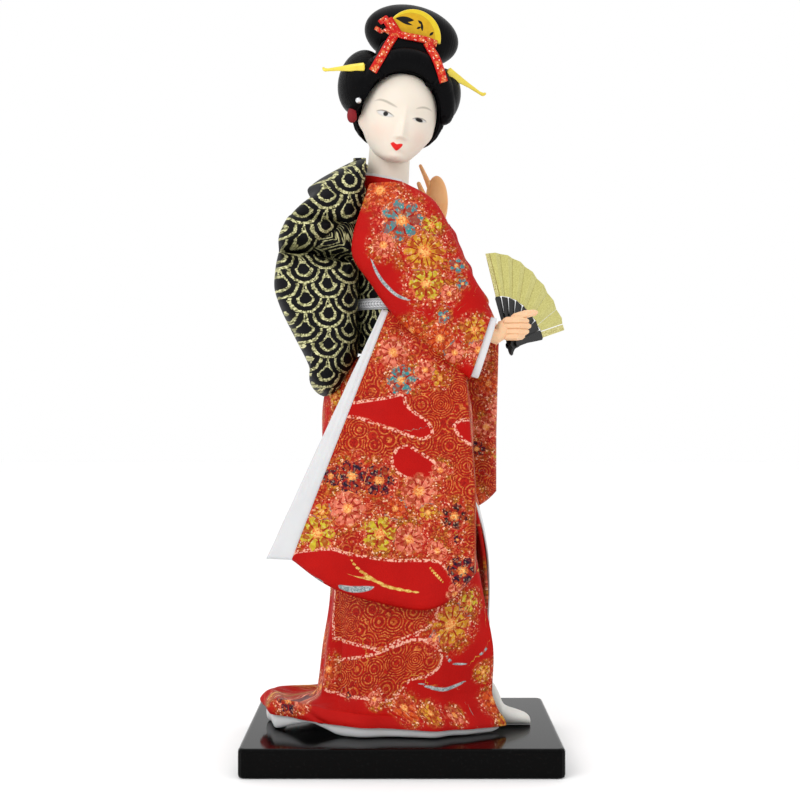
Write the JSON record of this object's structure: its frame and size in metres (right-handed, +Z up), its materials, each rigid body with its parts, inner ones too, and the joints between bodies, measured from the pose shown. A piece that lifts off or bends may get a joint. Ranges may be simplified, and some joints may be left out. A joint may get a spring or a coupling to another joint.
{
  "type": "doll",
  "caption": "Standing doll in a red brocade kimono with black and gold obi, dressed hair and an open folding fan, on a black lacquered board.",
  "frame": {"origin": "centre of the board's underside", "axes": "+Z up along the figure; the body faces +X and its right side, toward which the head is turned, is -Y"},
  "size_m": [0.1318, 0.1, 0.3102],
  "materials": {
    "lacquer": "high-gloss black lacquer on wood",
    "steel": "drawn wire",
    "wood": "plain turned wood",
    "stuffing": "wadding bound with thread",
    "skin": "matt painted ivory with fine painted features",
    "peach": "moulded, slight sheen",
    "hair": "black combed fibre with a satin sheen",
    "brocade": "red jacquard with metallic gold, white, teal and navy threads",
    "white": "plain white crepe",
    "obi": "black brocade with pale gold scale pattern",
    "silver": "silver braid",
    "ribbon": "red brocade ribbon with gold edge",
    "yellow": "moulded yellow, lightly gilt",
    "gold": "metallic gold leaf paper",
    "stick": "black moulded sticks",
    "brass": "small brass rivet"
  },
  "bodies": {
    "figure": {"base_board": "lacquer", "leg_wire_right": "steel", "leg_wire_left": "steel", "foot_right": "white", "foot_left": "white", "skirt_core": "stuffing", "torso_core": "stuffing", "neck_peg": "wood", "underskirt": "white", "kimono_skirt": "brocade", "hem_lining": "white", "kimono_bodice": "brocade", "collar": "brocade", "under_collar": "white", "obi_band": "obi", "obi_cord": "silver", "obi_knot": "obi", "obi_bow_upper": "obi", "obi_bow_lower": "obi", "sleeve_right": "brocade", "sleeve_left": "brocade", "sleeve_lining_right": "white", "sleeve_lining_left": "white", "cuff_right": "white", "cuff_left": "white", "arm_wire_right": "steel", "arm_wire_left": "steel", "hand_right": "peach", "hand_left": "peach"},
    "head": {"head": "skin", "hair_cap": "hair", "hair_front_roll": "hair", "hair_wing_right": "hair", "hair_wing_left": "hair", "hair_nape_roll": "hair", "hair_topknot": "hair", "ribbon_band": "ribbon", "ribbon_tail_right": "ribbon", "ribbon_tail_left": "ribbon", "hair_bead": "steel", "hair_side_cloth": "ribbon"},
    "comb": {"comb": "yellow"},
    "hairpin_right": {"hairpin_right": "yellow"},
    "hairpin_left": {"hairpin_left": "yellow"},
    "fan": {"fan_guard_near": "stick", "fan_rivet": "brass", "fan_leaf_1": "gold"},
    "fan_stick_1": {"fan_rib_1": "stick", "fan_leaf_2": "gold"},
    "fan_stick_2": {"fan_rib_2": "stick", "fan_leaf_3": "gold"},
    "fan_stick_3": {"fan_rib_3": "stick", "fan_leaf_4": "gold"},
    "fan_stick_4": {"fan_rib_4": "stick", "fan_leaf_5": "gold"},
    "fan_stick_5": {"fan_rib_5": "stick", "fan_leaf_6": "gold"},
    "fan_stick_6": {"fan_rib_6": "stick", "fan_leaf_7": "gold"},
    "fan_stick_7": {"fan_guard_far": "stick"}
  },
  "joints": [
    {"name": "head_turn", "type": "hinge", "parent": "figure", "child": "head", "pos_m": [-0.0056, 0, 0.2305], "axis": [0.1736, 0, 0.9848], "range_deg": [-20, 20]},
    {"name": "comb_pull", "type": "slide", "parent": "head", "child": "comb", "axis": [0.1908, 0, 0.9816], "range_m": [0, 0.009]},
    {"name": "hairpin_right_pull", "type": "slide", "parent": "head", "child": "hairpin_right", "axis": [-0.9861, -0.1512, -0.0685], "range_m": [0, 0.03]},
    {"name": "hairpin_left_pull", "type": "slide", "parent": "head", "child": "hairpin_left", "axis": [0.8886, 0.1512, -0.433], "range_m": [0, 0.03]},
    {"name": "fan_draw", "type": "slide", "parent": "figure", "child": "fan", "axis": [-0.2334, 0, 0.9724], "range_m": [0, 0.03]},
    {"name": "fan_fold", "type": "hinge", "parent": "fan", "child": "fan_stick_1", "pos_m": [0.0448, -0.019, 0.1675], "axis": [0.764, -0.6186, 0.1834], "range_deg": [0, 12.2], "deforming": ["fan_leaf_1"]},
    {"name": "fan_fold_2", "type": "hinge", "parent": "fan_stick_1", "child": "fan_stick_2", "pos_m": [0.0448, -0.019, 0.1675], "axis": [0.764, -0.6186, 0.1834], "range_deg": [0, 12.2], "deforming": ["fan_leaf_2"]},
    {"name": "fan_fold_3", "type": "hinge", "parent": "fan_stick_2", "child": "fan_stick_3", "pos_m": [0.0448, -0.019, 0.1675], "axis": [0.764, -0.6186, 0.1834], "range_deg": [0, 12.2], "deforming": ["fan_leaf_3"]},
    {"name": "fan_fold_4", "type": "hinge", "parent": "fan_stick_3", "child": "fan_stick_4", "pos_m": [0.0448, -0.019, 0.1675], "axis": [0.764, -0.6186, 0.1834], "range_deg": [0, 12.2], "deforming": ["fan_leaf_4"]},
    {"name": "fan_fold_5", "type": "hinge", "parent": "fan_stick_4", "child": "fan_stick_5", "pos_m": [0.0448, -0.019, 0.1675], "axis": [0.764, -0.6186, 0.1834], "range_deg": [0, 12.2], "deforming": ["fan_leaf_5"]},
    {"name": "fan_fold_6", "type": "hinge", "parent": "fan_stick_5", "child": "fan_stick_6", "pos_m": [0.0448, -0.019, 0.1675], "axis": [0.764, -0.6186, 0.1834], "range_deg": [0, 12.2], "deforming": ["fan_leaf_6"]},
    {"name": "fan_fold_7", "type": "hinge", "parent": "fan_stick_6", "child": "fan_stick_7", "pos_m": [0.0448, -0.019, 0.1675], "axis": [0.764, -0.6186, 0.1834], "range_deg": [0, 12.2], "deforming": ["fan_leaf_7"]}
  ],
  "couplings": [
    {"joint": "fan_fold_2", "follows": "fan_fold", "ratio": 1},
    {"joint": "fan_fold_3", "follows": "fan_fold", "ratio": 1},
    {"joint": "fan_fold_4", "follows": "fan_fold", "ratio": 1},
    {"joint": "fan_fold_5", "follows": "fan_fold", "ratio": 1},
    {"joint": "fan_fold_6", "follows": "fan_fold", "ratio": 1},
    {"joint": "fan_fold_7", "follows": "fan_fold", "ratio": 1}
  ]
}
